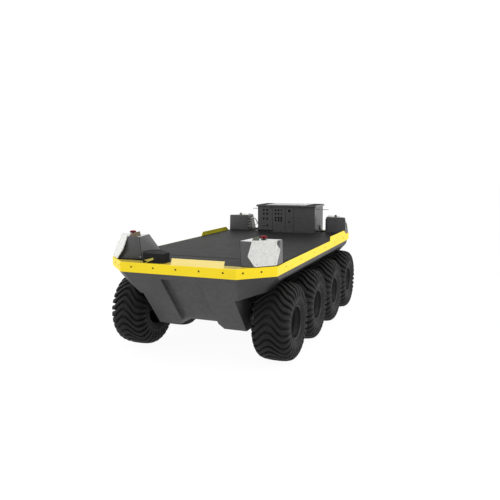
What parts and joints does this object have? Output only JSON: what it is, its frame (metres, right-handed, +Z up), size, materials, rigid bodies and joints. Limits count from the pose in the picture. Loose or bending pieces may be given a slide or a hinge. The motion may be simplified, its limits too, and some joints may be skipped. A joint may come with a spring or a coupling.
{
  "type": "eight-wheel robot chassis",
  "caption": "Skid-steer robot chassis: low moulded tub on four tyres a side, flat load deck, bumper rail, corner pods with stop buttons and a lidded electronics box.",
  "frame": {"origin": "on the ground, under the middle of the chassis's length and width", "axes": "+Z up, the front of the chassis faces -Y, its own left side is +X"},
  "size_m": [1.58, 2.918, 1.125],
  "materials": {
    "hull": "moulded, fine grain",
    "deck": "non-slip texture",
    "rail": "powder coat, satin yellow",
    "pod": "powder coat, dark grey",
    "panel": "pale reflector sheet",
    "box": "powder coat, charcoal",
    "tyre": "lugged rubber",
    "rim": "black painted steel",
    "steel": "machined",
    "chain": "oiled roller chain",
    "motor": "painted",
    "battery": "moulded case",
    "button_red": "glossy red",
    "button_black": "glossy black",
    "cable_light": "grey jacket",
    "cable_dark": "black jacket"
  },
  "bodies": {
    "root": {"hull_tub": "hull", "deck_plate": "deck", "rail_front": "rail", "rail_rear": "rail", "rail_left": "rail", "rail_right": "rail", "pod_front_left": "pod", "pod_front_right": "pod", "pod_rear_left": "pod", "pod_rear_right": "pod", "panel_front_left": "panel", "panel_front_right": "panel", "panel_rear_left": "panel", "panel_rear_right": "panel", "front_connector_box": "pod", "electronics_box": "box", "battery_pack": "battery", "drive_motor_left": "motor", "drive_motor_right": "motor", "drive_chain_left": "chain", "drive_chain_right": "chain", "pod_signal_cable": "cable_light", "pod_power_cable": "cable_dark", "bearing_left_1": "steel", "bearing_left_2": "steel", "bearing_left_3": "steel", "bearing_left_4": "steel", "bearing_right_1": "steel", "bearing_right_2": "steel", "bearing_right_3": "steel", "bearing_right_4": "steel"},
    "wheel_left_1": {"tyre_left_1": "tyre", "rim_left_1": "rim", "axle_left_1": "steel"},
    "wheel_left_2": {"tyre_left_2": "tyre", "rim_left_2": "rim", "axle_left_2": "steel"},
    "wheel_left_3": {"tyre_left_3": "tyre", "rim_left_3": "rim", "axle_left_3": "steel"},
    "wheel_left_4": {"tyre_left_4": "tyre", "rim_left_4": "rim", "axle_left_4": "steel"},
    "wheel_right_1": {"tyre_right_1": "tyre", "rim_right_1": "rim", "axle_right_1": "steel"},
    "wheel_right_2": {"tyre_right_2": "tyre", "rim_right_2": "rim", "axle_right_2": "steel"},
    "wheel_right_3": {"tyre_right_3": "tyre", "rim_right_3": "rim", "axle_right_3": "steel"},
    "wheel_right_4": {"tyre_right_4": "tyre", "rim_right_4": "rim", "axle_right_4": "steel"},
    "front_left_button": {"button_front_left": "button_red"},
    "front_right_button": {"button_front_right": "button_red"},
    "rear_left_button": {"button_rear_left": "button_black"},
    "rear_right_button": {"button_rear_right": "button_black"},
    "lid": {"electronics_lid": "box"}
  },
  "joints": [
    {"name": "wheel_left_1_spin", "type": "hinge", "parent": "root", "child": "wheel_left_1", "pos_m": [0.6375, -0.9144, 0.31578], "axis": [1, 0, 0], "continuous": true},
    {"name": "wheel_left_2_spin", "type": "hinge", "parent": "root", "child": "wheel_left_2", "pos_m": [0.6375, -0.2748, 0.31578], "axis": [1, 0, 0], "continuous": true},
    {"name": "wheel_left_3_spin", "type": "hinge", "parent": "root", "child": "wheel_left_3", "pos_m": [0.6375, 0.3648, 0.31578], "axis": [1, 0, 0], "continuous": true},
    {"name": "wheel_left_4_spin", "type": "hinge", "parent": "root", "child": "wheel_left_4", "pos_m": [0.6375, 1.0044, 0.31578], "axis": [1, 0, 0], "continuous": true},
    {"name": "wheel_right_1_spin", "type": "hinge", "parent": "root", "child": "wheel_right_1", "pos_m": [-0.6375, -0.9144, 0.31578], "axis": [1, 0, 0], "continuous": true},
    {"name": "wheel_right_2_spin", "type": "hinge", "parent": "root", "child": "wheel_right_2", "pos_m": [-0.6375, -0.2748, 0.31578], "axis": [1, 0, 0], "continuous": true},
    {"name": "wheel_right_3_spin", "type": "hinge", "parent": "root", "child": "wheel_right_3", "pos_m": [-0.6375, 0.3648, 0.31578], "axis": [1, 0, 0], "continuous": true},
    {"name": "wheel_right_4_spin", "type": "hinge", "parent": "root", "child": "wheel_right_4", "pos_m": [-0.6375, 1.0044, 0.31578], "axis": [1, 0, 0], "continuous": true},
    {"name": "front_left_button_press", "type": "slide", "parent": "root", "child": "front_left_button", "axis": [0, 0, -1], "range_m": [0, 0.004], "stiffness_N_per_m": 500, "springref_m": -0.004},
    {"name": "front_right_button_press", "type": "slide", "parent": "root", "child": "front_right_button", "axis": [0, 0, -1], "range_m": [0, 0.004], "stiffness_N_per_m": 500, "springref_m": -0.004},
    {"name": "rear_left_button_press", "type": "slide", "parent": "root", "child": "rear_left_button", "axis": [0, 0, -1], "range_m": [0, 0.004], "stiffness_N_per_m": 500, "springref_m": -0.004},
    {"name": "rear_right_button_press", "type": "slide", "parent": "root", "child": "rear_right_button", "axis": [0, 0, -1], "range_m": [0, 0.004], "stiffness_N_per_m": 500, "springref_m": -0.004},
    {"name": "lid_hinge", "type": "hinge", "parent": "root", "child": "lid", "pos_m": [0.05, 1.364, 1.1033], "axis": [-1, 0, 0], "range_deg": [0, 95]}
  ],
  "couplings": [
    {"joint": "wheel_left_2_spin", "follows": "wheel_left_1_spin", "ratio": 1},
    {"joint": "wheel_left_3_spin", "follows": "wheel_left_1_spin", "ratio": 1},
    {"joint": "wheel_left_4_spin", "follows": "wheel_left_1_spin", "ratio": 1},
    {"joint": "wheel_right_2_spin", "follows": "wheel_right_1_spin", "ratio": 1},
    {"joint": "wheel_right_3_spin", "follows": "wheel_right_1_spin", "ratio": 1},
    {"joint": "wheel_right_4_spin", "follows": "wheel_right_1_spin", "ratio": 1}
  ]
}
